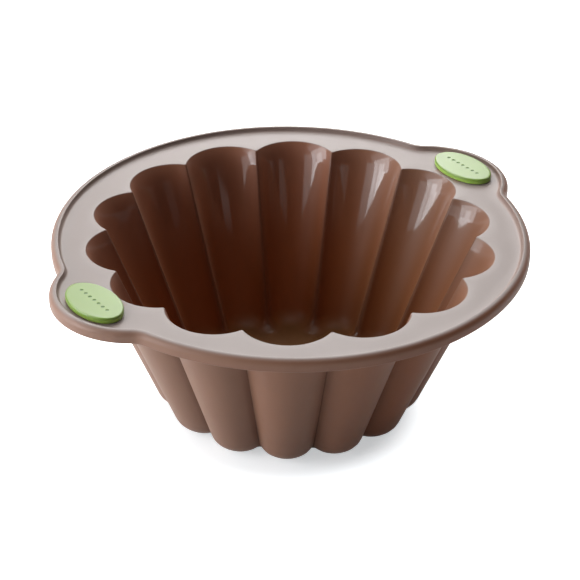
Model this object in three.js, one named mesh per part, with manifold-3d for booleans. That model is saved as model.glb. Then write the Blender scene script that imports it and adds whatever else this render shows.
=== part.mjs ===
// A charlotte mould in silicone: a fluted cup with a flat flange and two ears, a steel wire moulded into the
// bead round the flange, and two oval grip buttons that snap through slots in the ears.
// Millimetres, +Z up. The base stands on z = 0 about the Z axis, and the ears lie along X.
import * as THREE from 'three';
import { mergeVertices } from 'three/addons/utils/BufferGeometryUtils.js';
import Module from 'manifold-3d';

// Cup
const FLUTES = 14;
const CUP_HEIGHT = 101.5; // underside of the base to the top face of the flange
const MOUTH_PITCH_RADIUS = 85.5; // axis to the middle of a flute's arc, at the flange
const MOUTH_FLUTE_RADIUS = 24.7; // inside radius of a flute's arc, at the flange
const BASE_PITCH_RADIUS = 57.3; // the same two sizes where the wall would meet the base plane
const BASE_FLUTE_RADIUS = 11.6;
const WALL = 2.1; // square to the wall
const FLOOR = 2.5;
const BASE_EDGE_ROUND = 14; // outside round between wall and base
const FLUTE_SHARE_ROUNDED = 0.9; // most of a flute's radius that the base edge may take up
const MOUTH_EDGE_ROUND = 0.6; // round between the inside wall and the flange
const MOUTH_RIDGE_ROUND = 0.4; // round on the ridges between flutes, on the flange's top face
const BASE_RIDGE_ROUND = 2.6; // round on the same ridges at the base
const VALLEY_ROUND = 0.6; // round in the valleys between flutes, outside

// Flange and ears
const FLANGE = 3;
const FLANGE_WIDTH = 18.2; // deepest point of a flute to the rim, at the flange
const EAR_PROJECTION = 15.4; // tip of an ear beyond the rim
const EAR_RADIUS = 43.5; // outline of an ear
const EAR_BLEND = 11.8; // hollow blend between ear and rim

// Rim wire, and the bead of silicone round it
const WIRE_DIAMETER = 3;
const WIRE_CLEARANCE = 0.3;
const WIRE_COVER = 1.5; // silicone all round the wire
const LIP_HEIGHT = 2.4; // crest of the bead above the flange's top face
const LIP_CREST = 0.4; // flat of the crest
const LIP_EDGE = 0.4; // inner round of the crest
const LIP_COVE = 2; // width of the hollow between crest and flange
const BEAD_EDGE = 0.8; // lower outer edge
const PIN_HOLES = 10; // left by the pins that hold the wire in the moulding tool
const PIN_HOLE_DIAMETER = 2.4;

// Grip buttons
const BUTTON_LENGTH = 40; // along the rim
const BUTTON_MARGIN = 1.5; // land left on the ear between the button, the mouth and the lip
const BUTTON_HEIGHT = 3.2;
const BUTTON_EDGE = 0.9; // round of the upper edge
const BUTTON_UNDERCUT = 0.6; // bevel of the lower edge
const BUTTON_LAP = 3.5; // how far the head laps the ear beyond the neck
const NECK_CLEARANCE = 0.3;
const RETAINER_LAP = 1.8; // how far the retaining head laps the ear beyond the neck
const RETAINER_HEIGHT = 1.5;
const RETAINER_EDGE = 0.5;

// Fineness of the curved surfaces
const STEPS_PER_HALF_FLUTE = 5;
const WALL_STEPS = 3;
const ROUND_STEPS = 3;
const OVAL_STEPS = 32;
const WIRE_SIDES = 8;
const EAR_STEPS = 6;
const BLEND_STEPS = 4;
const RIM_STEPS = 12;
const PIN_HOLE_SIDES = 10;
const CUT_MARGIN = 1; // how far a cutter reaches past the face it opens

const HALF_PITCH = Math.PI / FLUTES;
const RING_POINTS = 2 * STEPS_PER_HALF_FLUTE * FLUTES;
const mix = THREE.MathUtils.lerp;

const wasm = await Module();
wasm.setup();

// Surfaces from rings of points

function surface(points, faces) {
  const geometry = new THREE.BufferGeometry().setFromPoints(points);
  geometry.setIndex(faces);
  return geometry;
}

function addBand(faces, first, second, count) {
  for (let i = 0; i < count; i++) {
    const next = (i + 1) % count;
    faces.push(first + i, second + i, second + next);
    faces.push(first + i, second + next, first + next);
  }
}

// Closed skin through rings that run from an upward-facing end to a downward-facing end
function loft(rings) {
  const count = rings[0].length;
  const last = (rings.length - 1) * count;
  const points = rings.flat();
  const faces = [];
  rings.slice(1).forEach((ring, row) => addBand(faces, row * count, (row + 1) * count, count));
  const firstMiddle = points.push(middle(rings[0])) - 1;
  const lastMiddle = points.push(middle(rings.at(-1))) - 1;
  for (let i = 0; i < count; i++) {
    const next = (i + 1) % count;
    faces.push(firstMiddle, i, next);
    faces.push(lastMiddle, last + next, last + i);
  }
  return surface(points, faces);
}

// Closed skin through sections that follow one another round a loop
function hoop(sections) {
  const count = sections[0].length;
  const faces = [];
  sections.forEach((section, i) => {
    addBand(faces, i * count, ((i + 1) % sections.length) * count, count);
  });
  return surface(sections.flat(), faces);
}

function middle(ring) {
  const sum = ring.reduce((total, point) => total.add(point), new THREE.Vector3());
  return sum.divideScalar(ring.length);
}

function oval(centreX, length, width, z) {
  return Array.from({ length: OVAL_STEPS }, (_, i) => {
    const angle = (i / OVAL_STEPS) * 2 * Math.PI;
    const x = centreX + (width / 2) * Math.cos(angle);
    return new THREE.Vector3(x, (length / 2) * Math.sin(angle), z);
  });
}

// Fluted sections of the cup

// A point between the middle of a flute's arc (share 0) and the ridge beside it (share 1), by length along
// the outline. x runs along the flute's middle line.
function flutePoint(pitchRadius, fluteRadius, ridgeRound, share) {
  const offset = pitchRadius * Math.sin(HALF_PITCH);
  const round = Math.max(ridgeRound, offset - fluteRadius);
  const reach = fluteRadius + round;
  const along = Math.sqrt(Math.max(reach ** 2 - offset ** 2, 0));
  const turn = HALF_PITCH + Math.asin(Math.min(1, offset / reach));
  const arcLength = fluteRadius * turn;
  const length = share * (arcLength + round * (turn - HALF_PITCH));
  if (length <= arcLength) {
    const angle = length / fluteRadius;
    return [pitchRadius + fluteRadius * Math.cos(angle), fluteRadius * Math.sin(angle)];
  }
  const ridgeMiddle = pitchRadius * Math.cos(HALF_PITCH) + along;
  const angle = turn + Math.PI - (length - arcLength) / round;
  const x = ridgeMiddle * Math.cos(HALF_PITCH) + round * Math.cos(angle);
  return [x, ridgeMiddle * Math.sin(HALF_PITCH) + round * Math.sin(angle)];
}

function flutedRing(pitchRadius, fluteRadius, ridgeRound, z) {
  return Array.from({ length: RING_POINTS }, (_, i) => {
    const flute = Math.round(i / (2 * STEPS_PER_HALF_FLUTE));
    const step = i - flute * 2 * STEPS_PER_HALF_FLUTE;
    const share = Math.abs(step) / STEPS_PER_HALF_FLUTE;
    const [x, y] = flutePoint(pitchRadius, fluteRadius, ridgeRound, share);
    const point = new THREE.Vector3(x, Math.sign(step) * y, z);
    return point.applyAxisAngle(new THREE.Vector3(0, 0, 1), flute * 2 * HALF_PITCH);
  });
}

const mouthReach = MOUTH_PITCH_RADIUS + MOUTH_FLUTE_RADIUS;
const baseReach = BASE_PITCH_RADIUS + BASE_FLUTE_RADIUS;
const wallLean = Math.atan((mouthReach - baseReach) / CUP_HEIGHT);
const edgeSweep = Math.PI / 2 - wallLean;
const edgeRoundLimit = (FLUTE_SHARE_ROUNDED * BASE_FLUTE_RADIUS) / Math.tan(edgeSweep / 2);
const insideEdgeRound = Math.min(BASE_EDGE_ROUND - WALL, edgeRoundLimit);

// One face of the cup's wall: thicken moves it outwards, and inset draws it in square to the outline
function wallRing(face, z, inset) {
  const share = z / CUP_HEIGHT;
  const pitchRadius = mix(BASE_PITCH_RADIUS, MOUTH_PITCH_RADIUS, share);
  const fluteRadius = mix(BASE_FLUTE_RADIUS, MOUTH_FLUTE_RADIUS, share) + face.thicken;
  const ridgeRound = mix(face.baseRound, face.mouthRound, share);
  return flutedRing(pitchRadius, fluteRadius - inset, ridgeRound + inset, z);
}

const insideFace = {
  thicken: 0,
  baseRound: BASE_RIDGE_ROUND,
  mouthRound: MOUTH_RIDGE_ROUND + MOUTH_EDGE_ROUND,
  floor: FLOOR,
  edgeRound: insideEdgeRound,
  top: CUP_HEIGHT - MOUTH_EDGE_ROUND,
};
const outsideFace = {
  thicken: WALL / Math.cos(wallLean),
  baseRound: VALLEY_ROUND,
  mouthRound: VALLEY_ROUND,
  floor: 0,
  edgeRound: insideEdgeRound + WALL,
  top: CUP_HEIGHT - FLANGE,
};

// Rings of one face from the edge of the flat floor, round the base edge and up to the flange
function wallRings(face) {
  const rings = [];
  const tangent = face.edgeRound * Math.tan(edgeSweep / 2);
  for (let i = 0; i <= ROUND_STEPS; i++) {
    const angle = (i / ROUND_STEPS) * edgeSweep;
    const rise = face.edgeRound * (1 - Math.cos(angle));
    const inset = tangent + rise * Math.tan(wallLean) - face.edgeRound * Math.sin(angle);
    rings.push(wallRing(face, face.floor + rise, inset));
  }
  const wallFoot = face.floor + face.edgeRound * (1 - Math.cos(edgeSweep));
  for (let i = 1; i <= WALL_STEPS; i++) {
    rings.push(wallRing(face, mix(wallFoot, face.top, i / WALL_STEPS), 0));
  }
  return rings;
}

function mouthEdgeRings() {
  return [0.5, 1].map((share) => {
    const angle = (share * Math.PI) / 2;
    const growth = MOUTH_EDGE_ROUND * (1 - Math.cos(angle));
    const z = insideFace.top + MOUTH_EDGE_ROUND * Math.sin(angle);
    return flutedRing(MOUTH_PITCH_RADIUS, MOUTH_FLUTE_RADIUS + growth, insideFace.mouthRound - growth, z);
  });
}

// Outline of the flange: a circle with two ears, each blended in by hollow arcs

const rimRadius = mouthReach + FLANGE_WIDTH;
const earReach = rimRadius + EAR_PROJECTION;
const earMiddle = earReach - EAR_RADIUS;
const blendReach = rimRadius + EAR_BLEND;
const earToBlend = EAR_RADIUS + EAR_BLEND;
const blendCosine = (blendReach ** 2 + earMiddle ** 2 - earToBlend ** 2) / (2 * blendReach * earMiddle);
const blendAngle = Math.acos(blendCosine);
const blendMiddle = new THREE.Vector2(Math.cos(blendAngle), Math.sin(blendAngle)).multiplyScalar(blendReach);

// Polar angle where an ear's arc gives way to its blend, on the outline drawn in by inset
function earEndAngle(inset) {
  const fromEar = blendMiddle.clone().sub(new THREE.Vector2(earMiddle, 0)).setLength(EAR_RADIUS - inset);
  return Math.atan2(fromEar.y, earMiddle + fromEar.x);
}

// Distance along a ray from the axis to a circle: its far side, or its near side for a hollow arc
function rayToCircle(angle, centre, radius, side) {
  const along = centre.x * Math.cos(angle) + centre.y * Math.sin(angle);
  const across = centre.y * Math.cos(angle) - centre.x * Math.sin(angle);
  return along + side * Math.sqrt(radius ** 2 - across ** 2);
}

function outlinePoint(inset, angle, z) {
  const folded = Math.abs(Math.atan2(Math.sin(angle), Math.abs(Math.cos(angle))));
  let reach = rimRadius - inset;
  if (folded < earEndAngle(inset)) {
    reach = rayToCircle(folded, new THREE.Vector2(earMiddle, 0), EAR_RADIUS - inset, 1);
  } else if (folded < blendAngle) {
    reach = rayToCircle(folded, blendMiddle, EAR_BLEND + inset, -1);
  }
  return new THREE.Vector3(reach * Math.cos(angle), reach * Math.sin(angle), z);
}

function outlineRing(inset, z) {
  return Array.from({ length: RING_POINTS }, (_, i) => {
    const angle = (i / RING_POINTS) * 2 * Math.PI;
    return outlinePoint(inset, angle, z);
  });
}

// Bead round the wire: a section as high as it is wide, with its crest above the flange

const beadRadius = WIRE_DIAMETER / 2 + WIRE_CLEARANCE + WIRE_COVER;
const crest = CUP_HEIGHT + LIP_HEIGHT;
const beadFoot = crest - 2 * beadRadius;
const lipFootInset = beadRadius + LIP_CREST + LIP_EDGE + LIP_COVE;
const wireHeight = crest - beadRadius;

// Rings from the flange's top face, over the crest and round to the flange's underside
function beadRings() {
  const coveHeight = LIP_HEIGHT - LIP_EDGE;
  const coveTop = crest - LIP_EDGE;
  const profile = [
    [lipFootInset, CUP_HEIGHT],
    [lipFootInset - LIP_COVE * Math.SQRT1_2, coveTop - coveHeight * Math.SQRT1_2],
    [lipFootInset - LIP_COVE, coveTop],
    [beadRadius + LIP_CREST, crest],
  ];
  for (let i = 0; i <= ROUND_STEPS; i++) {
    const angle = (i / ROUND_STEPS) * (Math.PI / 2);
    profile.push([beadRadius * (1 - Math.sin(angle)), crest - beadRadius * (1 - Math.cos(angle))]);
  }
  profile.push(
    [0, beadFoot + BEAD_EDGE],
    [BEAD_EDGE, beadFoot],
    [2 * beadRadius, beadFoot],
    [2 * beadRadius, CUP_HEIGHT - FLANGE],
  );
  return profile.map(([inset, z]) => outlineRing(inset, z));
}

// Rim wire, in the middle of the bead

// Polar angles of the wire's sections over a quarter turn, closest together round the blend
function quarterAngles() {
  const earEnd = earEndAngle(beadRadius);
  const spread = (from, to, steps) => Array.from({ length: steps }, (_, i) => mix(from, to, i / steps));
  return [
    ...spread(0, earEnd, EAR_STEPS),
    ...spread(earEnd, blendAngle, BLEND_STEPS),
    ...spread(blendAngle, Math.PI / 2, RIM_STEPS),
  ];
}

function wirePath() {
  const quarter = quarterAngles();
  const back = quarter.slice(1).reverse();
  const half = [...quarter, Math.PI / 2, ...back.map((angle) => Math.PI - angle)];
  const angles = [...half, ...half.map((angle) => angle + Math.PI)];
  return angles.map((angle) => outlinePoint(beadRadius, angle, wireHeight));
}

function wireHoop(radius) {
  const path = wirePath();
  const up = new THREE.Vector3(0, 0, 1);
  const sections = path.map((point, i) => {
    const ahead = path[(i + 1) % path.length];
    const behind = path.at(i - 1);
    const outward = ahead.clone().sub(behind).cross(up).normalize();
    return Array.from({ length: WIRE_SIDES }, (_, side) => {
      const angle = ((side + 0.5) / WIRE_SIDES) * 2 * Math.PI;
      const offset = outward.clone().multiplyScalar(radius * Math.cos(angle));
      return point.clone().add(offset).addScaledVector(up, radius * Math.sin(angle));
    });
  });
  return hoop(sections);
}

// Grip buttons: oval head on the ear, neck through its slot, retaining head below

const earLandStart = mouthReach + MOUTH_EDGE_ROUND;
const earLandEnd = earReach - lipFootInset;
const buttonReach = (earLandStart + earLandEnd) / 2;
const buttonMiddle = { left: -buttonReach, right: buttonReach };
const buttonWidth = earLandEnd - earLandStart - 2 * BUTTON_MARGIN;
const neckLength = BUTTON_LENGTH - 2 * BUTTON_LAP;
const neckWidth = buttonWidth - 2 * BUTTON_LAP;

function gripButton(centreX) {
  const seat = CUP_HEIGHT;
  const top = seat + BUTTON_HEIGHT;
  const retainerTop = seat - FLANGE - NECK_CLEARANCE;
  const retainerFoot = retainerTop - RETAINER_HEIGHT;
  const retainerLength = neckLength + 2 * RETAINER_LAP;
  const retainerWidth = neckWidth + 2 * RETAINER_LAP;
  const head = (inset, z) => oval(centreX, BUTTON_LENGTH - 2 * inset, buttonWidth - 2 * inset, z);
  const retainer = (inset, z) => oval(centreX, retainerLength - 2 * inset, retainerWidth - 2 * inset, z);
  const halfRound = BUTTON_EDGE * (1 - Math.SQRT1_2);
  return loft([
    head(BUTTON_EDGE, top),
    head(halfRound, top - halfRound),
    head(0, top - BUTTON_EDGE),
    head(0, seat + BUTTON_UNDERCUT),
    head(BUTTON_UNDERCUT, seat),
    oval(centreX, neckLength, neckWidth, seat),
    oval(centreX, neckLength, neckWidth, retainerTop),
    retainer(0, retainerTop),
    retainer(0, retainerFoot + RETAINER_EDGE),
    retainer(RETAINER_EDGE, retainerFoot),
  ]);
}

// Cuts in the body

function solid(geometry) {
  const bare = geometry.clone();
  bare.deleteAttribute('normal');
  bare.deleteAttribute('uv');
  const merged = mergeVertices(bare);
  const vertProperties = new Float32Array(merged.attributes.position.array);
  const triVerts = new Uint32Array(merged.index.array);
  return new wasm.Manifold(new wasm.Mesh({ numProp: 3, vertProperties, triVerts }));
}

function fromSolid(body) {
  const mesh = body.getMesh();
  const geometry = new THREE.BufferGeometry();
  geometry.setAttribute('position', new THREE.BufferAttribute(mesh.vertProperties, mesh.numProp));
  geometry.setIndex(new THREE.BufferAttribute(mesh.triVerts, 1));
  return geometry;
}

function earSlot(centreX) {
  const length = neckLength + 2 * NECK_CLEARANCE;
  const width = neckWidth + 2 * NECK_CLEARANCE;
  const above = CUP_HEIGHT + CUT_MARGIN;
  const below = CUP_HEIGHT - FLANGE - CUT_MARGIN;
  return loft([oval(centreX, length, width, above), oval(centreX, length, width, below)]);
}

function pinHoles() {
  const foot = beadFoot - CUT_MARGIN;
  const depth = wireHeight - foot;
  return Array.from({ length: PIN_HOLES }, (_, i) => {
    const angle = ((i + 0.5) / PIN_HOLES) * 2 * Math.PI;
    const place = outlinePoint(beadRadius, angle, foot + depth / 2);
    const radius = PIN_HOLE_DIAMETER / 2;
    const hole = new THREE.CylinderGeometry(radius, radius, depth, PIN_HOLE_SIDES);
    return hole.rotateX(Math.PI / 2).translate(place.x, place.y, place.z);
  });
}

function mouldBody() {
  const inside = wallRings(insideFace);
  const outside = wallRings(outsideFace).reverse();
  const skin = loft([...inside, ...mouthEdgeRings(), ...beadRings(), ...outside]);
  const wireChannel = wireHoop(WIRE_DIAMETER / 2 + WIRE_CLEARANCE);
  const cuts = [wireChannel, earSlot(buttonMiddle.left), earSlot(buttonMiddle.right), ...pinHoles()];
  return fromSolid(cuts.reduce((body, cut) => body.subtract(solid(cut)), solid(skin)));
}

// Materials and assembly

const silicone = new THREE.MeshStandardMaterial({ color: 0x6a4a3b, roughness: 0.42, metalness: 0 });
const greenSilicone = new THREE.MeshStandardMaterial({ color: 0x8cc152, roughness: 0.45, metalness: 0 });
const steel = new THREE.MeshStandardMaterial({ color: 0xb9bcbf, roughness: 0.35, metalness: 1 });

const mould = new THREE.Group();

function addPiece(name, geometry, material) {
  const piece = new THREE.Mesh(geometry, material);
  piece.name = name;
  mould.add(piece);
}

addPiece('mould_body', mouldBody(), silicone);
addPiece('rim_wire', wireHoop(WIRE_DIAMETER / 2), steel);
addPiece('left_grip_button', gripButton(buttonMiddle.left), greenSilicone);
addPiece('right_grip_button', gripButton(buttonMiddle.right), greenSilicone);

export default mould;
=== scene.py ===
# The look of the charlotte mould: a fluted brown silicone cup with a flange, a beaded rim and two green grip
# buttons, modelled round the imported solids. Metres, +Z up, base on z = 0, ears along X.
import math

import bmesh
import bpy
from mathutils import Matrix, Vector


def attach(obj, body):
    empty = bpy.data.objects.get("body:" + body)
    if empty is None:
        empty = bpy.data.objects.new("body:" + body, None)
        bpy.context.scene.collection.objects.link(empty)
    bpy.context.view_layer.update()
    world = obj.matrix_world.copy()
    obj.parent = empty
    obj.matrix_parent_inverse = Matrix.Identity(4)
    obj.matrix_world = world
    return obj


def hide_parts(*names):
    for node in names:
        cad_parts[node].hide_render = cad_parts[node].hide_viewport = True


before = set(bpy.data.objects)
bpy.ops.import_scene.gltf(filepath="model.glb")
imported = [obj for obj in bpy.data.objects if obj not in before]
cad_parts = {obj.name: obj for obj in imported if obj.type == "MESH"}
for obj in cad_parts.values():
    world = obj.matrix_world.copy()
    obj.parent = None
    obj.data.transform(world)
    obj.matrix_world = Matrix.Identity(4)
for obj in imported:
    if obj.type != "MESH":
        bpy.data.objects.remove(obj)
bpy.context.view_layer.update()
bpy.ops.object.select_all(action="DESELECT")

MM = 0.001

# Cup, as in the part's source
FLUTES = 14
CUP_HEIGHT = 101.5 * MM
MOUTH_PITCH_RADIUS = 85.5 * MM
MOUTH_FLUTE_RADIUS = 24.7 * MM
BASE_PITCH_RADIUS = 57.3 * MM
BASE_FLUTE_RADIUS = 11.6 * MM
WALL = 2.1 * MM
FLOOR = 2.5 * MM
BASE_EDGE_ROUND = 14 * MM
MOUTH_EDGE_ROUND = 0.6 * MM
MOUTH_RIDGE_ROUND = 0.4 * MM
BASE_RIDGE_ROUND = 2.6 * MM
VALLEY_ROUND = 0.6 * MM
WALL_ROOT_ROUND = 1.5 * MM

# Flange, ears and the bead round the rim wire
FLANGE = 3 * MM
FLANGE_WIDTH = 18.2 * MM
EAR_PROJECTION = 15.4 * MM
EAR_RADIUS = 43.5 * MM
EAR_BLEND = 11.8 * MM
WIRE_DIAMETER = 3 * MM
WIRE_CLEARANCE = 0.3 * MM
WIRE_COVER = 1.5 * MM
LIP_HEIGHT = 2.4 * MM
LIP_CREST = 0.4 * MM
LIP_EDGE = 0.4 * MM
LIP_COVE = 2 * MM
BEAD_EDGE = 0.8 * MM
PIN_HOLES = 10
PIN_HOLE_DIAMETER = 2.4 * MM

# Grip buttons
BUTTON_LENGTH = 40 * MM
BUTTON_MARGIN = 1.5 * MM
BUTTON_HEIGHT = 3.2 * MM
BUTTON_EDGE = 0.9 * MM
BUTTON_UNDERCUT = 0.6 * MM
BUTTON_LAP = 3.5 * MM
NECK_CLEARANCE = 0.3 * MM
RETAINER_LAP = 1.8 * MM
RETAINER_HEIGHT = 1.5 * MM
RETAINER_EDGE = 0.5 * MM
PARTING_HEIGHT = 1.5 * MM
PARTING_DEPTH = 0.18 * MM
DIMPLES = 7
DIMPLE_PITCH = 4 * MM
DIMPLE_RADIUS = 1.05 * MM
DIMPLE_DEPTH = 0.35 * MM
BUTTON_FACE_INSET = 1.6 * BUTTON_EDGE
# Rise in millimetres and share of the depth, down across the line where the button's mould halves met
PARTING_SECTION = ((0.22, 0), (0.1, 0.2), (0.03, 0.9), (-0.03, 0.9), (-0.1, 0.2), (-0.22, 0))

# Fineness of the curved surfaces
FLUTE_STEPS = 12
RIDGE_STEPS = 4
WALL_STEPS = 10
ROUND_STEPS = 6
FLANGE_STEPS = 3
OVAL_STEPS = 96
CHANNEL_STEPS = 240
WIRE_STEPS = 360
WIRE_ROUND_STEPS = 4
PIN_HOLE_STEPS = 24
DIMPLE_STEPS = 24
SILICONE_SMOOTHING = 38
WIRE_SMOOTHING = 60

# Finishes along the body's section, as kept on its points
OUTSIDE = 0
FLANGE_TOP = 1 / 3
LINING = 2 / 3
CUP_FLOOR = 1
# Shares of the flange's colour mixed in as painted sheen: on the lining towards the mouth, down the bead and in
# the cove inside the lip. The fall sets how fast it leaves the bead below the crest.
MOUTH_PAINTED_SHEEN = 0.24
BEAD_PAINTED_SHEEN = 0.12
COVE_PAINTED_SHEEN = 0.75
CREST_FALL = 5
FLUTE_POINTS = 2 * (FLUTE_STEPS + RIDGE_STEPS)
CREASE_POINTS = RIDGE_STEPS + 2

HALF_PITCH = math.pi / FLUTES
MOUTH_REACH = MOUTH_PITCH_RADIUS + MOUTH_FLUTE_RADIUS
BASE_REACH = BASE_PITCH_RADIUS + BASE_FLUTE_RADIUS
WALL_LEAN = math.atan((MOUTH_REACH - BASE_REACH) / CUP_HEIGHT)
EDGE_SWEEP = math.pi / 2 - WALL_LEAN
RIM_RADIUS = MOUTH_REACH + FLANGE_WIDTH
EAR_REACH = RIM_RADIUS + EAR_PROJECTION
EAR_MIDDLE = EAR_REACH - EAR_RADIUS
BEAD_RADIUS = WIRE_DIAMETER / 2 + WIRE_CLEARANCE + WIRE_COVER
CREST = CUP_HEIGHT + LIP_HEIGHT
BEAD_FOOT = CREST - 2 * BEAD_RADIUS
WIRE_HEIGHT = CREST - BEAD_RADIUS
LIP_FOOT_INSET = BEAD_RADIUS + LIP_CREST + LIP_EDGE + LIP_COVE
EAR_LAND_START = MOUTH_REACH + MOUTH_EDGE_ROUND
EAR_LAND_END = EAR_REACH - LIP_FOOT_INSET
BUTTON_REACH = (EAR_LAND_START + EAR_LAND_END) / 2
BUTTON_WIDTH = EAR_LAND_END - EAR_LAND_START - 2 * BUTTON_MARGIN
NECK_LENGTH = BUTTON_LENGTH - 2 * BUTTON_LAP
NECK_WIDTH = BUTTON_WIDTH - 2 * BUTTON_LAP
BUTTON_TOP = CUP_HEIGHT + BUTTON_HEIGHT

# Colours, linear
WHITE = (1, 1, 1, 1)
BROWN_LINING = (0.22, 0.054, 0.009, 1)
# The flange's paler, greyer brown is partly painted sheen, standing for the lamps' reflection off its top.
FLANGE_BROWN_PAINTED_SHEEN = (0.204, 0.159, 0.143, 1)
BROWN_WALL = (0.22, 0.098, 0.056, 1)
BROWN_FLOOR = (0.19, 0.075, 0.016, 1)
# Painted light and shade by side: the outside is paler as painted key light on the side towards the key lamps;
# on the side away from them the outside is deeper as painted shade and the lining greyer as painted sheen.
BROWN_WALL_PAINTED_KEY_LIGHT = (0.245, 0.128, 0.085, 1)
BROWN_WALL_PAINTED_SHADE = (0.212, 0.07, 0.028, 1)
BROWN_LINING_PAINTED_SHEEN = (0.185, 0.058, 0.014, 1)
KEY_FAR_TURN = math.radians(-38)
KEY_FAR_SIDE = Vector((math.cos(KEY_FAR_TURN), math.sin(KEY_FAR_TURN), 0))
SIDE_PAINT_START = 0.1
SIDE_PAINT_END = 0.7
# Painted shade along the creases between flutes.
CREASE_SHADE = (0.5, 0.47, 0.45, 1)
CLOUD_DARK = (0.94, 0.93, 0.92, 1)
GREEN_DEEP = (0.145, 0.228, 0.028, 1)
GREEN_FRESH = (0.16, 0.25, 0.034, 1)
GREEN_DIMPLE_PAINTED_SHADE = (0.075, 0.16, 0.008, 1)
GREEN_PAINTED_LIGHT_SIDE = (0.3, 0.46, 0.08, 1)
STEEL_DULL = (0.44, 0.45, 0.46, 1)
STEEL_BRIGHT = (0.54, 0.55, 0.56, 1)
TONES_START = 0.3
TONES_END = 0.7

# Roughness, polish and bloom
SATIN = 0.35
LINING_SATIN = 0.48
MATT = 0.42
RIDGE_DULL = 0.3
STREAK_DULL = 0.06
BUTTON_SATIN_LOW = 0.27
BUTTON_SATIN_HIGH = 0.35
STEEL_SMOOTH = 0.24
STEEL_DRAWN = 0.42
SILICONE_IOR = 1.4
POLISH_IOR = 1.55
POLISHED = 0.06
POLISH = 1
POLISH_LOW = 0.06
POLISH_TOP = CUP_HEIGHT - 22 * MM
POLISH_END = CUP_HEIGHT - 56 * MM
CORNER_TOP = FLOOR + 8 * MM
CORNER_END = FLOOR + 4 * MM
KEPT_TURN = math.radians(25)
KEPT_SIDE = Vector((math.cos(KEPT_TURN), math.sin(KEPT_TURN), 0))
POLISH_SCUFFED = 0.3
SCUFF_START = 0.4
SCUFF_END = 0.62
POLISH_PATCHY = 0.75
PATCH_START = 0.42
PATCH_END = 0.56
BLOOM = 0.1
BLOOM_ROUGHNESS = 0.45
BLOOM_TINT = (1, 0.88, 0.76, 1)
GLOW = 0.7
GLOW_DEPTH = 2 * MM
GLOW_SPREAD = (1, 1, 0.5)

# Where the buttons' green changes: painted light down the sides and painted shade in the dimples
PAINTED_LIGHT_SIDE_START = BUTTON_TOP - BUTTON_EDGE / 2
PAINTED_LIGHT_SIDE_END = BUTTON_TOP - 1.5 * BUTTON_EDGE
DIMPLE_SHADE_START = BUTTON_TOP - 0.03 * MM
DIMPLE_SHADE_END = BUTTON_TOP - 0.5 * DIMPLE_DEPTH
DIMPLE_ROW_HALF_WIDTH = 1.4 * DIMPLE_RADIUS
DIMPLE_ROW_HALF_LENGTH = DIMPLES * DIMPLE_PITCH / 2

# Skin: how many clouds, ripples, grains and streaks go to a metre, and the relief in millimetres
CLOUD_SCALE = 26
CLOUD_DETAIL = 3
RIPPLE_SCALE = 60
RIPPLE_DETAIL = 1
GRAIN_SCALE = 1800
GRAIN_DETAIL = 2
STREAK_SCALE = (420, 420, 14)
STREAK_DETAIL = 2
BODY_RIPPLE = 0.05
BUTTON_RIPPLE = 0.02
WIRE_RIPPLE = 0
SILICONE_GRAIN = 0.002
WIRE_GRAIN = 0.003

# The photograph's viewpoint, aimed at the middle of the mouth
VIEW_AZIMUTH = math.radians(-37.84)
VIEW_ELEVATION = math.radians(31.334)
VIEW_ROLL = math.radians(0.792)
VIEW_DISTANCE = 967.16 * MM
VIEW_SLIDE_RIGHT = -0.5 * MM
VIEW_SLIDE_UP = -30.52 * MM
SENSOR_WIDTH = 36
LENS = 111.476
CLIP_START = 0.05

# Studio
FLOOR_SIZE = 16
FLOOR_DROP = 0.2 * MM
FLOOR_WHITE = (0.8, 0.8, 0.8, 1)
# The floor's painted glow: weaker near the mould's foot and centred a little towards the camera and to the left,
# so the rendered shadow shows only close by; its cool tint keeps that shadow neutral.
LIFT_TINT = (0.97, 1, 1.02, 1)
LIFT_NEAR = 0.5
LIFT_FAR = 1
LIFT_START = 62 * MM
LIFT_END = 84 * MM
SHADOW_SHIFT = 12 * MM
SHADOW_SIDE = 5 * MM
LIFT_IN_GLOSS = 0.12
ROOM_FILL = 0.08
FILL_IN_GLOSS = 0.03
SURROUND_TOP = math.sin(math.radians(3))
SURROUND_END = math.sin(math.radians(9))
SOFTBOX_DISTANCE = 1.6
LAMP_WATTS = 4  # for each square metre at a radiance of one
DAYLIGHT = (0.96, 1.01, 1.05)
NEUTRAL = (1, 1, 1)

# Azimuth and elevation, degrees across and tall, radiance and tint. Azimuth counts from the camera's right
# towards the back: 90 is behind the mould and 180 is left of it.
LAMPS = (
    ("left_core", 192.5, 17.5, 44, 35, 4, DAYLIGHT),
    ("left_hot", 192.5, 16.5, 15, 17, 2.8, DAYLIGHT),
    ("left_low", 195, 3, 30, 10, 3.2, DAYLIGHT),
    ("left_fore", 222, 14, 32, 28, 1.1, DAYLIGHT),
    ("left_high", 192, 42, 50, 16, 0.9, DAYLIGHT),
    ("left_back", 148, 37.5, 32, 25, 2.2, DAYLIGHT),
    ("back_left", 120, 36, 20, 28, 2, NEUTRAL),
    ("back_main", 90, 27.5, 22, 22, 5.6, NEUTRAL),
    ("back_bar", 90, 52, 70, 16, 6, NEUTRAL),
    ("overhead", 90, 90, 44, 44, 0.5, NEUTRAL),
    ("front_card", 302, 9.5, 24, 11, 0.4, NEUTRAL),
)


def mix(start, end, share):
    return start + (end - start) * share


# Outlines of the fluted cup

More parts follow.
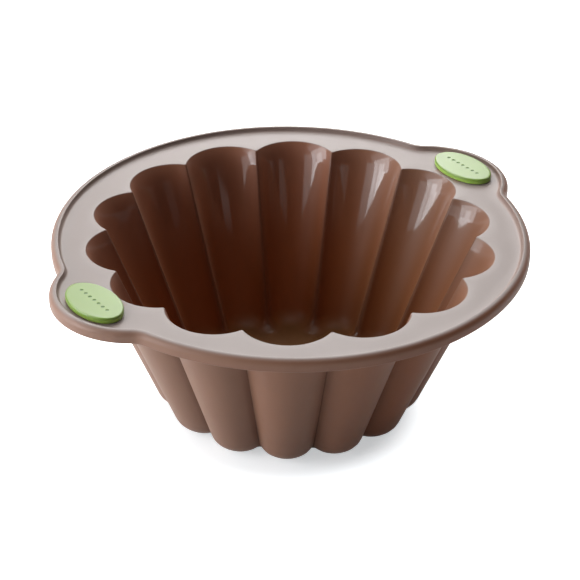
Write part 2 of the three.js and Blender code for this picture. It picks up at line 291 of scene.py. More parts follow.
def half_flute(pitch_radius, flute_radius, ridge_round):
    """Points from the middle of a flute's arc round to the ridge beside it."""
    offset = pitch_radius * math.sin(HALF_PITCH)
    ridge = max(ridge_round, offset - flute_radius)
    reach = flute_radius + ridge
    along = math.sqrt(max(reach ** 2 - offset ** 2, 0))
    ridge_middle = pitch_radius * math.cos(HALF_PITCH) + along
    turn = HALF_PITCH + math.asin(min(1, offset / reach))
    points = []
    for step in range(FLUTE_STEPS):
        angle = turn * step / FLUTE_STEPS
        points.append((pitch_radius + flute_radius * math.cos(angle), flute_radius * math.sin(angle)))
    for step in range(RIDGE_STEPS + 1):
        angle = mix(turn, HALF_PITCH, step / RIDGE_STEPS) + math.pi
        x = ridge_middle * math.cos(HALF_PITCH) + ridge * math.cos(angle)
        y = ridge_middle * math.sin(HALF_PITCH) + ridge * math.sin(angle)
        points.append((x, y))
    return points


def fluted_ring(pitch_radius, flute_radius, ridge_round, height):
    half = half_flute(pitch_radius, flute_radius, ridge_round)
    flute = [Vector((x, -y, height)) for x, y in reversed(half[1:])]
    flute += [Vector((x, y, height)) for x, y in half[:-1]]
    ring = []
    for number in range(FLUTES):
        turned = Matrix.Rotation(2 * HALF_PITCH * number, 3, "Z")
        ring += [turned @ point for point in flute]
    return ring


def wall_ring(thicken, base_round, mouth_round, height, inset):
    share = height / CUP_HEIGHT
    pitch_radius = mix(BASE_PITCH_RADIUS, MOUTH_PITCH_RADIUS, share)
    flute_radius = mix(BASE_FLUTE_RADIUS, MOUTH_FLUTE_RADIUS, share) + thicken
    ridge_round = mix(base_round, mouth_round, share)
    return fluted_ring(pitch_radius, flute_radius - inset, ridge_round + inset, height)


def wall_rings(thicken, base_round, mouth_round, floor, edge_round, top):
    """Rings from the edge of the flat floor, round the base edge and up the wall."""
    rings = []
    tangent = edge_round * math.tan(EDGE_SWEEP / 2)
    for step in range(ROUND_STEPS + 1):
        angle = EDGE_SWEEP * step / ROUND_STEPS
        rise = edge_round * (1 - math.cos(angle))
        inset = tangent + rise * math.tan(WALL_LEAN) - edge_round * math.sin(angle)
        rings.append(wall_ring(thicken, base_round, mouth_round, floor + rise, inset))
    wall_foot = floor + edge_round * (1 - math.cos(EDGE_SWEEP))
    for step in range(1, WALL_STEPS + 1):
        height = mix(wall_foot, top, step / WALL_STEPS)
        rings.append(wall_ring(thicken, base_round, mouth_round, height, 0))
    return rings


def inside_rings():
    mouth_round = MOUTH_RIDGE_ROUND + MOUTH_EDGE_ROUND
    edge_round = BASE_EDGE_ROUND - WALL
    top = CUP_HEIGHT - MOUTH_EDGE_ROUND
    return wall_rings(0, BASE_RIDGE_ROUND, mouth_round, FLOOR, edge_round, top)


def mouth_edge_rings():
    rings = []
    for step in range(1, ROUND_STEPS + 1):
        angle = math.pi / 2 * step / ROUND_STEPS
        growth = MOUTH_EDGE_ROUND * (1 - math.cos(angle))
        height = CUP_HEIGHT - MOUTH_EDGE_ROUND * (1 - math.sin(angle))
        ridge_round = MOUTH_RIDGE_ROUND + MOUTH_EDGE_ROUND - growth
        rings.append(fluted_ring(MOUTH_PITCH_RADIUS, MOUTH_FLUTE_RADIUS + growth, ridge_round, height))
    return rings


def outside_rings():
    """Rings from the flange's underside, round the root of the wall and down to the base."""
    thicken = WALL / math.cos(WALL_LEAN)
    top = CUP_HEIGHT - FLANGE
    rings = []
    for step in range(ROUND_STEPS):
        angle = math.pi / 2 * step / ROUND_STEPS
        growth = WALL_ROOT_ROUND * (1 - math.sin(angle))
        height = top - WALL_ROOT_ROUND * (1 - math.cos(angle))
        rings.append(wall_ring(thicken + growth, VALLEY_ROUND, VALLEY_ROUND, height, 0))
    wall = wall_rings(thicken, VALLEY_ROUND, VALLEY_ROUND, 0, BASE_EDGE_ROUND, top - WALL_ROOT_ROUND)
    return rings + wall[::-1]


# Outline of the flange: a circle with two ears, each blended in by hollow arcs

BLEND_REACH = RIM_RADIUS + EAR_BLEND
EAR_TO_BLEND = EAR_RADIUS + EAR_BLEND
BLEND_COSINE = (BLEND_REACH ** 2 + EAR_MIDDLE ** 2 - EAR_TO_BLEND ** 2) / (2 * BLEND_REACH * EAR_MIDDLE)
BLEND_ANGLE = math.acos(BLEND_COSINE)
BLEND_MIDDLE = Vector((math.cos(BLEND_ANGLE), math.sin(BLEND_ANGLE))) * BLEND_REACH


def ear_end_angle(inset):
    from_ear = (BLEND_MIDDLE - Vector((EAR_MIDDLE, 0))).normalized() * (EAR_RADIUS - inset)
    return math.atan2(from_ear.y, EAR_MIDDLE + from_ear.x)


def ray_to_circle(angle, middle, radius, side):
    along = middle.x * math.cos(angle) + middle.y * math.sin(angle)
    across = middle.y * math.cos(angle) - middle.x * math.sin(angle)
    return along + side * math.sqrt(radius ** 2 - across ** 2)


def outline_point(inset, angle, height):
    folded = abs(math.remainder(angle, math.pi))
    reach = RIM_RADIUS - inset
    if folded < ear_end_angle(inset):
        reach = ray_to_circle(folded, Vector((EAR_MIDDLE, 0)), EAR_RADIUS - inset, 1)
    elif folded < BLEND_ANGLE:
        reach = ray_to_circle(folded, BLEND_MIDDLE, EAR_BLEND + inset, -1)
    return Vector((reach * math.cos(angle), reach * math.sin(angle), height))


def outline_ring(inset, height, angles):
    return [outline_point(inset, angle, height) for angle in angles]


def quarter_round(start_inset, start_height, end_inset, end_height, hollow):
    """Profile points of a quarter round between two places, bulging or hollow."""
    points = []
    for step in range(1, ROUND_STEPS + 1):
        angle = math.pi / 2 * step / ROUND_STEPS
        early, late = math.sin(angle), 1 - math.cos(angle)
        if hollow:
            early, late = late, early
        points.append((mix(start_inset, end_inset, late), mix(start_height, end_height, early)))
    return points


def bead_profile():
    """Inset and height from the flange's top face, over the crest and round to its underside."""
    cove_top = CREST - LIP_EDGE
    cove_end = LIP_FOOT_INSET - LIP_COVE
    underside = CUP_HEIGHT - FLANGE
    profile = [(LIP_FOOT_INSET, CUP_HEIGHT)]
    for step in range(1, ROUND_STEPS + 1):
        angle = math.pi / 2 * step / ROUND_STEPS
        inset = LIP_FOOT_INSET - LIP_COVE * math.sin(angle)
        profile.append((inset, cove_top - (LIP_HEIGHT - LIP_EDGE) * math.cos(angle)))
    profile += quarter_round(cove_end, cove_top, BEAD_RADIUS + LIP_CREST, CREST, False)
    profile.append((BEAD_RADIUS, CREST))
    for step in range(1, 2 * ROUND_STEPS + 1):
        angle = math.pi / 2 * step / (2 * ROUND_STEPS)
        profile.append((BEAD_RADIUS * (1 - math.sin(angle)), CREST - BEAD_RADIUS * (1 - math.cos(angle))))
    profile.append((0, BEAD_FOOT + BEAD_EDGE))
    profile += quarter_round(0, BEAD_FOOT + BEAD_EDGE, BEAD_EDGE, BEAD_FOOT, False)
    profile.append((2 * BEAD_RADIUS - BEAD_EDGE / 2, BEAD_FOOT))
    profile.append((2 * BEAD_RADIUS, BEAD_FOOT + BEAD_EDGE / 2))
    profile.append((2 * BEAD_RADIUS, underside))
    return profile


# Modelling by hand: rings drawn out of one another

def edit(piece):
    bpy.context.view_layer.objects.active = piece
    bpy.ops.object.mode_set(mode="EDIT")
    bpy.ops.mesh.select_mode(type="VERT")


def leave_edit():
    bpy.ops.object.mode_set(mode="OBJECT")


def place_ring(piece, points, finish, depth):
    """Move the selected ring to its outline, and note its finish and how deep its creases between flutes are,
    where the colour is darkened as painted shade.
    """
    mesh = bmesh.from_edit_mesh(piece.data)
    order = mesh.verts.layers.int["order"]
    given = mesh.verts.layers.float["finish"]
    crease = mesh.verts.layers.float["crease"]
    for vert in mesh.verts:
        if vert.select:
            from_ridge = vert[order] % FLUTE_POINTS
            from_ridge = min(from_ridge, FLUTE_POINTS - from_ridge)
            vert.co = points[vert[order]]
            vert[given] = finish
            vert[crease] = depth * max(0, 1 - from_ridge / CREASE_POINTS)
    bmesh.update_edit_mesh(piece.data)


def start_ring(name, points, finish):
    """A disc with its edge on the first outline, and only that edge selected."""
    bpy.ops.mesh.primitive_circle_add(vertices=len(points), radius=MOUTH_REACH, fill_type="TRIFAN")
    piece = bpy.context.object
    piece.name = name
    edit(piece)
    mesh = bmesh.from_edit_mesh(piece.data)
    for kind, layer in ((mesh.verts.layers.int, "order"), (mesh.verts.layers.float, "finish"),
                        (mesh.verts.layers.float, "crease")):
        kind.new(layer)
    order = mesh.verts.layers.int["order"]
    given = mesh.verts.layers.float["finish"]
    rim = [vert for vert in mesh.verts if vert.is_boundary]
    for number, vert in enumerate(rim):
        vert[order] = number
    middle = sum(points, Vector()) / len(points)
    for vert in mesh.verts:
        vert.select = vert.is_boundary
        vert[given] = finish
        if not vert.is_boundary:
            vert.co = middle
    mesh.select_flush_mode()
    bmesh.update_edit_mesh(piece.data)
    place_ring(piece, points, finish, 0)
    return piece


def draw_out(piece, points, finish, depth=0):
    bpy.ops.mesh.extrude_edges_move()
    place_ring(piece, points, finish, depth)


def close_ring():
    bpy.ops.mesh.edge_face_add()
    bpy.ops.mesh.poke()


def tidy_normals():
    bpy.ops.mesh.select_all(action="SELECT")
    bpy.ops.mesh.normals_make_consistent(inside=False)
    leave_edit()


def mould_body():
    """The whole moulding in one skin: up the lining, over the flange and bead, and down the outside."""
    cup = inside_rings()
    mouth = mouth_edge_rings()
    angles = [math.atan2(point.y, point.x) for point in mouth[-1]]
    profile = bead_profile()
    lip_foot = outline_ring(*profile[0], angles)
    piece = start_ring("mould_body_skin", cup[0], CUP_FLOOR)
    for step, ring in enumerate(cup[1:], start=1):
        up_wall = min(1, step / ROUND_STEPS)
        to_mouth = max(0, step - ROUND_STEPS) / (len(cup) - 1 - ROUND_STEPS)
        # Towards the mouth the lining takes on painted sheen, a share of the flange's paler colour.
        finish = mix(mix(CUP_FLOOR, LINING, up_wall), FLANGE_TOP, MOUTH_PAINTED_SHEEN * to_mouth ** 2)
        draw_out(piece, ring, finish, up_wall)
    for step, ring in enumerate(mouth, start=1):
        draw_out(piece, ring, mix(LINING, FLANGE_TOP, mix(MOUTH_PAINTED_SHEEN, 1, step / len(mouth))))
    for step in range(1, FLANGE_STEPS):
        between = [near.lerp(far, step / FLANGE_STEPS) for near, far in zip(mouth[-1], lip_foot)]
        draw_out(piece, between, FLANGE_TOP)
    for inset, height in profile:
        # Over the bead the painted sheen of the flange's colour falls off below the crest; the cove keeps most
        # of it.
        over_wire = (height - WIRE_HEIGHT) / BEAD_RADIUS
        on_top = max(BEAD_PAINTED_SHEEN, over_wire ** CREST_FALL)
        if inset > BEAD_RADIUS + LIP_CREST and height > CUP_HEIGHT:
            on_top = COVE_PAINTED_SHEEN
        elif height == CUP_HEIGHT:
            on_top = 1
        draw_out(piece, outline_ring(inset, height, angles), mix(OUTSIDE, FLANGE_TOP, on_top))
    for ring in outside_rings():
        draw_out(piece, ring, OUTSIDE, 1)
    close_ring()
    tidy_normals()
    return piece


def oval_ring(centre, length, width, height):
    points = []
    for step in range(OVAL_STEPS):
        angle = 2 * math.pi * step / OVAL_STEPS
        points.append(Vector((centre + width / 2 * math.cos(angle), length / 2 * math.sin(angle), height)))
    return points


def cut(piece, cutter):
    """Take the cutter's space out of the piece, and throw the cutter away."""
    bpy.ops.object.select_all(action="DESELECT")
    bpy.context.view_layer.objects.active = piece
    piece.select_set(True)
    taken = piece.modifiers.new("cut", "BOOLEAN")
    taken.operation = "DIFFERENCE"
    taken.solver = "EXACT"
    taken.object = cutter
    bpy.ops.object.modifier_apply(modifier=taken.name)
    bpy.data.objects.remove(cutter, do_unlink=True)


def smooth(piece, degrees):
    bpy.ops.object.select_all(action="DESELECT")
    piece.select_set(True)
    bpy.context.view_layer.objects.active = piece
    bpy.ops.object.shade_smooth_by_angle(angle=math.radians(degrees))


def wire_hoop(name, diameter, turns):
    """A round wire that follows the rim's outline in the middle of the bead."""
    bpy.ops.mesh.primitive_circle_add(vertices=turns, radius=RIM_RADIUS)
    piece = bpy.context.object
    piece.name = name
    for number, vert in enumerate(piece.data.vertices):
        vert.co = outline_point(BEAD_RADIUS, 2 * math.pi * number / turns, WIRE_HEIGHT)
    bpy.ops.object.convert(target="CURVE")
    piece = bpy.context.object
    piece.data.bevel_depth = diameter / 2
    piece.data.bevel_resolution = WIRE_ROUND_STEPS
    bpy.ops.object.convert(target="MESH")
    piece = bpy.context.object
    edit(piece)
    tidy_normals()
    return piece


def ear_slot(centre):
    length = NECK_LENGTH + 2 * NECK_CLEARANCE
    width = NECK_WIDTH + 2 * NECK_CLEARANCE
    piece = start_ring("slot_cutter", oval_ring(centre, length, width, CUP_HEIGHT + FLANGE), OUTSIDE)
    draw_out(piece, oval_ring(centre, length, width, CUP_HEIGHT - 2 * FLANGE), OUTSIDE)
    close_ring()
    tidy_normals()
    return piece


def joined(pieces):
    bpy.ops.object.select_all(action="DESELECT")
    for piece in pieces:
        piece.select_set(True)
    bpy.context.view_layer.objects.active = pieces[0]
    bpy.ops.object.join()
    return bpy.context.object


def pin_hole(number):
    angle = 2 * math.pi * (number + 0.5) / PIN_HOLES
    depth = WIRE_HEIGHT - BEAD_FOOT + BEAD_EDGE
    place = outline_point(BEAD_RADIUS, angle, WIRE_HEIGHT - depth / 2)
    bpy.ops.mesh.primitive_cylinder_add(vertices=PIN_HOLE_STEPS, radius=PIN_HOLE_DIAMETER / 2,
                                        depth=depth, location=place)
    return bpy.context.object


def grip_button(name, centre):
    """An oval head, a neck through the ear and a retaining head below, drawn from the top down."""
    seat = CUP_HEIGHT
    retainer_top = seat - FLANGE - NECK_CLEARANCE
    retainer_foot = retainer_top - RETAINER_HEIGHT
    retainer_length = NECK_LENGTH + 2 * RETAINER_LAP
    retainer_width = NECK_WIDTH + 2 * RETAINER_LAP

    def head(inset, height):
        return oval_ring(centre, BUTTON_LENGTH - 2 * inset, BUTTON_WIDTH - 2 * inset, height)

    def retainer(inset, height):
        return oval_ring(centre, retainer_length - 2 * inset, retainer_width - 2 * inset, height)

    rings = [head(BUTTON_FACE_INSET, BUTTON_TOP), head(BUTTON_EDGE, BUTTON_TOP)]
    for step in range(1, ROUND_STEPS + 1):
        angle = math.pi / 2 * step / ROUND_STEPS
        inset = BUTTON_EDGE * (1 - math.sin(angle))
        rings.append(head(inset, BUTTON_TOP - BUTTON_EDGE * (1 - math.cos(angle))))
    parting = seat + PARTING_HEIGHT
    for rise, share in PARTING_SECTION:
        rings.append(head(PARTING_DEPTH * share, parting + rise * MM))
    for step in range(ROUND_STEPS + 1):
        angle = math.pi / 2 * step / ROUND_STEPS
        inset = BUTTON_UNDERCUT * (1 - math.cos(angle))
        rings.append(head(inset, seat + BUTTON_UNDERCUT * (1 - math.sin(angle))))
    rings.append(oval_ring(centre, NECK_LENGTH, NECK_WIDTH, seat))
    rings.append(oval_ring(centre, NECK_LENGTH, NECK_WIDTH, retainer_top))
    rings.append(retainer(0, retainer_top))
    for step in range(ROUND_STEPS + 1):
        angle = math.pi / 2 * step / ROUND_STEPS
        inset = RETAINER_EDGE * (1 - math.cos(angle))
        rings.append(retainer(inset, retainer_foot + RETAINER_EDGE * (1 - math.sin(angle))))
    piece = start_ring(name, rings[0], OUTSIDE)
    for ring in rings[1:]:
        draw_out(piece, ring, OUTSIDE)
    close_ring()
    tidy_normals()
    return piece


def dimple(centre, along):
    """A flat round tool that presses one dimple into a button's top face."""
    bpy.ops.mesh.primitive_uv_sphere_add(segments=DIMPLE_STEPS, ring_count=DIMPLE_STEPS // 2,
                                         radius=DIMPLE_RADIUS, location=(centre, along, BUTTON_TOP))
    piece = bpy.context.object
    edit(piece)
    bpy.ops.mesh.select_all(action="SELECT")
    bpy.ops.transform.resize(value=(1, 1, DIMPLE_DEPTH / DIMPLE_RADIUS))
    leave_edit()
    return piece


body = mould_body()
cut(body, wire_hoop("channel_cutter", WIRE_DIAMETER + 2 * WIRE_CLEARANCE, CHANNEL_STEPS))
cut(body, joined([ear_slot(side * BUTTON_REACH) for side in (-1, 1)]))
cut(body, joined([pin_hole(number) for number in range(PIN_HOLES)]))
smooth(body, SILICONE_SMOOTHING)

wire = wire_hoop("rim_wire_drawn", WIRE_DIAMETER, WIRE_STEPS)
smooth(wire, WIRE_SMOOTHING)

left_button = grip_button("left_button_dimpled", -BUTTON_REACH)
right_button = grip_button("right_button_dimpled", BUTTON_REACH)
for button, side in ((left_button, -1), (right_button, 1)):
    places = [(number - (DIMPLES - 1) / 2) * DIMPLE_PITCH for number in range(DIMPLES)]
    cut(button, joined([dimple(side * BUTTON_REACH, along) for along in places]))
    smooth(button, SILICONE_SMOOTHING)


# Materials

def add_node(tree, kind, inputs=None, **settings):
    """A node with its settings, and each input given a value or linked to a socket."""
    made = tree.nodes.new(kind)
    for name, value in settings.items():
        setattr(made, name, value)
    for name, value in (inputs or {}).items():
        if isinstance(value, bpy.types.NodeSocket):
            tree.links.new(value, made.inputs[name])
        else:
            made.inputs[name].default_value = value
    return made


def attribute(tree, name):
    return add_node(tree, "ShaderNodeAttribute", attribute_name=name).outputs["Fac"]


def worked_out(tree, operation, *values):
    """The result of one sum on numbers or sockets."""
    return add_node(tree, "ShaderNodeMath", dict(enumerate(values)), operation=operation).outputs["Value"]


def ranged(tree, value, start, end, low=0, high=1, shape="LINEAR"):
    """A value that goes from low to high while the given one goes from start to end."""
    return add_node(tree, "ShaderNodeMapRange",
                    {"Value": value, "From Min": start, "From Max": end, "To Min": low, "To Max": high},
                    interpolation_type=shape).outputs["Result"]


def blended(tree, share, first, second, way="MIX"):
    """The first colour, with the second mixed in or multiplied on by this share."""
    return add_node(tree, "ShaderNodeMix", {0: share, 6: first, 7: second},
                    data_type="RGBA", blend_type=way).outputs[2]


def towards(tree, heading, side):
    """One where the heading from the cup's axis points to this side, and minus one opposite."""
    return add_node(tree, "ShaderNodeVectorMath", {0: heading, 1: side},
                    operation="DOT_PRODUCT").outputs["Value"]


def greys(*levels):
    return [(level, level, level, 1) for level in levels]


def set_levels(shader, levels):
    for name, level in levels.items():
        shader.inputs[name].default_value = level


def two_tones(tree, share, dark, light):
    ramp = add_node(tree, "ShaderNodeValToRGB", {"Fac": share})
    low, high = ramp.color_ramp.elements
    low.position, high.position = TONES_START, TONES_END
    low.color, high.color = dark, light
    return ramp.outputs["Color"]


def by_finish(tree, finish, colours):
    """The outside's, flange's, lining's and cup floor's colour, each where the body has that finish."""
    ramp = add_node(tree, "ShaderNodeValToRGB", {"Fac": finish})
    stops = ramp.color_ramp.elements
    stops.new(FLANGE_TOP)
    stops.new(LINING)
    for stop, colour in zip(stops, colours):
        stop.color = colour
    return ramp.outputs["Color"]


def moulded_skin():
    """What moulding leaves on silicone: cloudy pigment, upright streaks, slow ripples and fine grain."""
    group = bpy.data.node_groups.new("moulded_skin", "ShaderNodeTree")
    group.interface.new_socket(name="Place", in_out="INPUT", socket_type="NodeSocketVector")
    for name in ("Ripple Height", "Grain Height"):
        group.interface.new_socket(name=name, in_out="INPUT", socket_type="NodeSocketFloat")
    for name in ("Cloud", "Streak", "Relief"):
        group.interface.new_socket(name=name, in_out="OUTPUT", socket_type="NodeSocketFloat")
    given = group.nodes.new("NodeGroupInput").outputs
    place = given["Place"]

    def noise(where, scale, detail):
        return add_node(group, "ShaderNodeTexNoise",
                        {"Vector": where, "Scale": scale, "Detail": detail}).outputs["Fac"]

    tall = add_node(group, "ShaderNodeMapping", {"Vector": place, "Scale": STREAK_SCALE}).outputs["Vector"]
    ripple = noise(place, RIPPLE_SCALE, RIPPLE_DETAIL)
    grain = noise(place, GRAIN_SCALE, GRAIN_DETAIL)
    ripples = worked_out(group, "MULTIPLY", ripple, given["Ripple Height"])
    add_node(group, "NodeGroupOutput", {
        "Cloud": noise(place, CLOUD_SCALE, CLOUD_DETAIL),
        "Streak": noise(tall, 1, STREAK_DETAIL),
        "Relief": worked_out(group, "MULTIPLY_ADD", grain, given["Grain Height"], ripples)})
    return group


def new_material(name):
    material = bpy.data.materials.new(name)
    material.use_nodes = True
    tree = material.node_tree
    return material, tree, tree.nodes["Principled BSDF"]


def skin_on(tree, shader, skin, ripple_height, grain_height):
    """Place the shared skin on a material and let its relief, in millimetres, tilt the surface."""
    place = add_node(tree, "ShaderNodeTexCoord").outputs["Object"]
    surface = add_node(tree, "ShaderNodeGroup",
                       {"Place": place, "Ripple Height": ripple_height, "Grain Height": grain_height},
                       node_tree=skin).outputs
    tilt = add_node(tree, "ShaderNodeBump", {"Height": surface["Relief"], "Strength": 1, "Distance": MM})
    tree.links.new(tilt.outputs["Normal"], shader.inputs["Normal"])
    return place, surface


def brown_pigment(tree, finish, heading):
    """The brown of each finish, with painted key light making the outside paler towards the key lamps, and away
    from them painted shade making the outside deeper and painted sheen making the lining greyer.
    """
    pigment = by_finish(tree, finish, (BROWN_WALL, FLANGE_BROWN_PAINTED_SHEEN, BROWN_LINING, BROWN_FLOOR))
    # Painted key light, painted shade and painted sheen, each mixed in by side.
    for painted_side, wall, lining in ((-KEY_FAR_SIDE, BROWN_WALL_PAINTED_KEY_LIGHT, BROWN_LINING),
                                     (KEY_FAR_SIDE, BROWN_WALL_PAINTED_SHADE, BROWN_LINING_PAINTED_SHEEN)):
        share = ranged(tree, towards(tree, heading, painted_side), SIDE_PAINT_START, SIDE_PAINT_END)
        side_painted = by_finish(tree, finish, (wall, FLANGE_BROWN_PAINTED_SHEEN, lining, BROWN_FLOOR))
        pigment = blended(tree, share, pigment, side_painted)
    return pigment


def lining_polish(tree, finish, crease, height, heading, cloud):
    """Polish on the lining: scraped off low down but for the ridges' feet, scuffed off one side, and patchy."""
    polish = by_finish(tree, finish, greys(0, 0, POLISH, POLISH))
    scraped = ranged(tree, height, POLISH_END, POLISH_TOP, POLISH_LOW, 1, "SMOOTHSTEP")
    corner = ranged(tree, height, CORNER_TOP, CORNER_END)
    worn = ranged(tree, crease, 0, 1, scraped, corner)
    scuffed = ranged(tree, towards(tree, heading, KEPT_SIDE), SCUFF_START, SCUFF_END, POLISH_SCUFFED)
    patch = ranged(tree, cloud, PATCH_START, PATCH_END, POLISH_PATCHY)
    kept = worked_out(tree, "MULTIPLY", worn, worked_out(tree, "MULTIPLY", scuffed, patch))
    return worked_out(tree, "MULTIPLY", polish, kept)


def brown_silicone(skin):
    """Satin outside and on the flange, and glossier where the cup's lining copies a polished core. Its colour
    carries painted sheen, painted key light and painted shade.
    """
    material, tree, shader = new_material("brown_silicone_moulded")
    place, surface = skin_on(tree, shader, skin, BODY_RIPPLE, SILICONE_GRAIN)
    finish, crease = attribute(tree, "finish"), attribute(tree, "crease")
    height = add_node(tree, "ShaderNodeSeparateXYZ", {"Vector": place}).outputs["Z"]
    flat = add_node(tree, "ShaderNodeVectorMath", {0: place, 1: (1, 1, 0)}, operation="MULTIPLY")
    heading = add_node(tree, "ShaderNodeVectorMath", {0: flat.outputs["Vector"]},
                       operation="NORMALIZE").outputs["Vector"]
    cloud = two_tones(tree, surface["Cloud"], CLOUD_DARK, WHITE)
    clouded = blended(tree, 1, brown_pigment(tree, finish, heading), cloud, "MULTIPLY")
    # Painted shade: the colour darkens along the creases between flutes, in the valleys outside and on the
    # ridges inside.
    painted_crease_shade = blended(tree, 1, clouded, blended(tree, crease, WHITE, CREASE_SHADE), "MULTIPLY")
    tree.links.new(painted_crease_shade, shader.inputs["Base Color"])
    rough = by_finish(tree, finish, greys(MATT, SATIN, LINING_SATIN, LINING_SATIN))
    streaked = worked_out(tree, "MULTIPLY_ADD", surface["Streak"], STREAK_DULL, rough)
    dull = worked_out(tree, "MULTIPLY_ADD", crease, RIDGE_DULL, streaked)
    tree.links.new(dull, shader.inputs["Roughness"])
    polish = lining_polish(tree, finish, crease, height, heading, surface["Cloud"])
    tree.links.new(polish, shader.inputs["Coat Weight"])
    set_levels(shader, {"Coat Roughness": POLISHED, "Coat IOR": POLISH_IOR, "IOR": SILICONE_IOR,
                        "Sheen Weight": BLOOM, "Sheen Roughness": BLOOM_ROUGHNESS, "Sheen Tint": BLOOM_TINT})
    return material


def green_silicone(skin):
    """Bright green, with painted light making it paler down the sides and painted shade darkening the dimples
    along the middle of each button.
    """
    material, tree, shader = new_material("green_silicone_moulded")
    place, surface = skin_on(tree, shader, skin, BUTTON_RIPPLE, SILICONE_GRAIN)
    axes = add_node(tree, "ShaderNodeSeparateXYZ", {"Vector": place}).outputs
    face = two_tones(tree, surface["Cloud"], GREEN_DEEP, GREEN_FRESH)
    # Painted light: the sides are paler, standing for light shining through the green silicone.
    painted_side_light = blended(tree, ranged(tree, axes["Z"], PAINTED_LIGHT_SIDE_START, PAINTED_LIGHT_SIDE_END), face, GREEN_PAINTED_LIGHT_SIDE)
    reach = worked_out(tree, "ABSOLUTE", axes["X"])
    in_width = worked_out(tree, "COMPARE", reach, BUTTON_REACH, DIMPLE_ROW_HALF_WIDTH)
    in_length = worked_out(tree, "COMPARE", axes["Y"], 0, DIMPLE_ROW_HALF_LENGTH)
    in_row = worked_out(tree, "MULTIPLY", in_width, in_length)
    # Painted shade: the dimples are darker green than the top face.
    painted_dimple_shade = worked_out(tree, "MULTIPLY", in_row, ranged(tree, axes["Z"], DIMPLE_SHADE_START, DIMPLE_SHADE_END))
    tree.links.new(blended(tree, painted_dimple_shade, painted_side_light, GREEN_DIMPLE_PAINTED_SHADE), shader.inputs["Base Color"])
    rough = ranged(tree, surface["Cloud"], 0, 1, BUTTON_SATIN_LOW, BUTTON_SATIN_HIGH)
    tree.links.new(rough, shader.inputs["Roughness"])
    set_levels(shader, {"IOR": POLISH_IOR, "Subsurface Weight": GLOW, "Subsurface Radius": GLOW_SPREAD,
                        "Subsurface Scale": GLOW_DEPTH})
    return material


def steel_wire(skin):
    """Drawn spring steel with faint die lines."""
    material, tree, shader = new_material("steel_wire_drawn")
    _, surface = skin_on(tree, shader, skin, WIRE_RIPPLE, WIRE_GRAIN)
    tone = two_tones(tree, surface["Cloud"], STEEL_DULL, STEEL_BRIGHT)
    tree.links.new(tone, shader.inputs["Base Color"])
    rough = ranged(tree, surface["Streak"], 0, 1, STEEL_SMOOTH, STEEL_DRAWN)
    tree.links.new(rough, shader.inputs["Roughness"])
    set_levels(shader, {"Metallic": 1})
    return material


def dress(piece, node, material):
    piece.data.materials.clear()
    piece.data.materials.append(material)
    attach(piece, "root")
    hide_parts(node)


skin = moulded_skin()
green = green_silicone(skin)
dress(body, "mould_body", brown_silicone(skin))
dress(wire, "rim_wire", steel_wire(skin))
dress(left_button, "left_grip_button", green)
dress(right_button, "right_grip_button", green)


# Studio: pale floor, soft lamps and the photograph's camera

def studio(right, away, up):
    """A place in the studio, counted from the mould's axis as the camera looks at it."""
    turned = Matrix.Rotation(VIEW_AZIMUTH, 3, "Z")
    return turned @ Vector((right, away, up))


def mirrored(tree, path):
    """One for rays that come off gloss or through glass."""
    return worked_out(tree, "MAXIMUM", path["Is Glossy Ray"], path["Is Transmission Ray"])


def studio_floor():
    """A white sheet whose painted glow is weaker near the mould's foot, so that the rendered shadow shows only
    close to it.
    """
    bpy.ops.object.select_all(action="DESELECT")
    bpy.ops.mesh.primitive_plane_add(size=FLOOR_SIZE, location=(0, 0, -FLOOR_DROP))
    piece = bpy.context.object
    piece.name = "studio_floor"
    material, tree, shader = new_material("white_floor")
    tree.nodes.remove(shader)
    place = add_node(tree, "ShaderNodeTexCoord").outputs["Object"]
    reach = add_node(tree, "ShaderNodeVectorMath", {0: place, 1: studio(-SHADOW_SIDE, -SHADOW_SHIFT, 0)},
                     operation="DISTANCE").outputs["Value"]
    # Painted glow on the floor for camera rays, weaker near the mould's foot.
    painted_floor_glow = ranged(tree, reach, LIFT_START, LIFT_END, LIFT_NEAR, LIFT_FAR, "SMOOTHSTEP")
    path = add_node(tree, "ShaderNodeLightPath").outputs
    in_gloss = worked_out(tree, "MULTIPLY", mirrored(tree, path), LIFT_IN_GLOSS)
    strength = worked_out(tree, "MULTIPLY_ADD", path["Is Camera Ray"], painted_floor_glow, in_gloss)
    cover = add_node(tree, "ShaderNodeBsdfDiffuse", {"Color": FLOOR_WHITE})
    glow = add_node(tree, "ShaderNodeEmission", {"Color": LIFT_TINT, "Strength": strength})
    both = add_node(tree, "ShaderNodeAddShader", {0: cover.outputs["BSDF"], 1: glow.outputs["Emission"]})
    tree.links.new(both.outputs["Shader"], tree.nodes["Material Output"].inputs["Surface"])
    piece.data.materials.append(material)


def room():
    """Dim light from the whole room, in front of a white surround that gloss shows low down."""
    world = bpy.data.worlds.new("studio_room")
    bpy.context.scene.world = world
    world.use_nodes = True
    tree = world.node_tree
    heading = add_node(tree, "ShaderNodeTexCoord").outputs["Generated"]
    height = add_node(tree, "ShaderNodeSeparateXYZ", {"Vector": heading}).outputs["Z"]
    low = ranged(tree, height, SURROUND_TOP, SURROUND_END, 1, FILL_IN_GLOSS)
    path = add_node(tree, "ShaderNodeLightPath").outputs
    fill = add_node(tree, "ShaderNodeMix", {0: mirrored(tree, path), 2: ROOM_FILL, 3: low}).outputs[0]
    strength = add_node(tree, "ShaderNodeMix", {0: path["Is Camera Ray"], 2: fill, 3: 1}).outputs[0]
    tree.links.new(strength, tree.nodes["Background"].inputs["Strength"])
    tree.nodes["Background"].inputs["Color"].default_value = WHITE


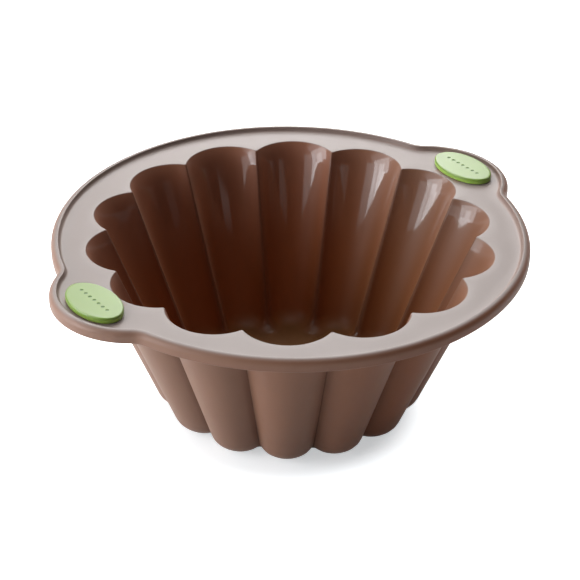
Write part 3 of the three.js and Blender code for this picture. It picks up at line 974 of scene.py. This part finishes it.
def softbox(name, azimuth, elevation, across, tall, radiance, tint):
    """A rectangular lamp that fills this many degrees of the mould's surroundings, at this radiance."""
    turn, rise = math.radians(azimuth), math.radians(elevation)
    flat = SOFTBOX_DISTANCE * math.cos(rise)
    middle = Vector((0, 0, CUP_HEIGHT))
    place = middle + studio(flat * math.cos(turn), flat * math.sin(turn), SOFTBOX_DISTANCE * math.sin(rise))
    bpy.ops.object.light_add(type="AREA", location=place)
    lamp = bpy.context.object
    lamp.name = name
    lamp.data.shape = "RECTANGLE"
    lamp.data.size = 2 * SOFTBOX_DISTANCE * math.tan(math.radians(across / 2))
    lamp.data.size_y = 2 * SOFTBOX_DISTANCE * math.tan(math.radians(tall / 2))
    lamp.data.color = tint
    lamp.data.energy = LAMP_WATTS * radiance * lamp.data.size * lamp.data.size_y
    lamp.rotation_euler = (middle - place).to_track_quat("-Z", "Y").to_euler()


def camera():
    """The camera where the photograph was taken from, with its slight roll."""
    across = Vector((math.cos(VIEW_AZIMUTH), math.sin(VIEW_AZIMUTH), 0))
    away = Vector((-math.sin(VIEW_AZIMUTH), math.cos(VIEW_AZIMUTH), 0))
    back = -away * math.cos(VIEW_ELEVATION) + Vector((0, 0, math.sin(VIEW_ELEVATION)))
    upright = back.cross(across)
    right = across * math.cos(VIEW_ROLL) + upright * math.sin(VIEW_ROLL)
    up = upright * math.cos(VIEW_ROLL) - across * math.sin(VIEW_ROLL)
    place = Vector((0, 0, CUP_HEIGHT)) + back * VIEW_DISTANCE
    place += right * VIEW_SLIDE_RIGHT + up * VIEW_SLIDE_UP
    bpy.ops.object.camera_add()
    view = bpy.context.object
    view.name = "photo_view"
    view.matrix_world = Matrix((right, up, back)).transposed().to_4x4()
    view.matrix_world.translation = place
    view.data.sensor_width = SENSOR_WIDTH
    view.data.lens = LENS
    view.data.clip_start = CLIP_START
    bpy.context.scene.camera = view


studio_floor()
room()
for lamp in LAMPS:
    softbox(*lamp)
camera()
bpy.context.scene.view_settings.view_transform = "Standard"
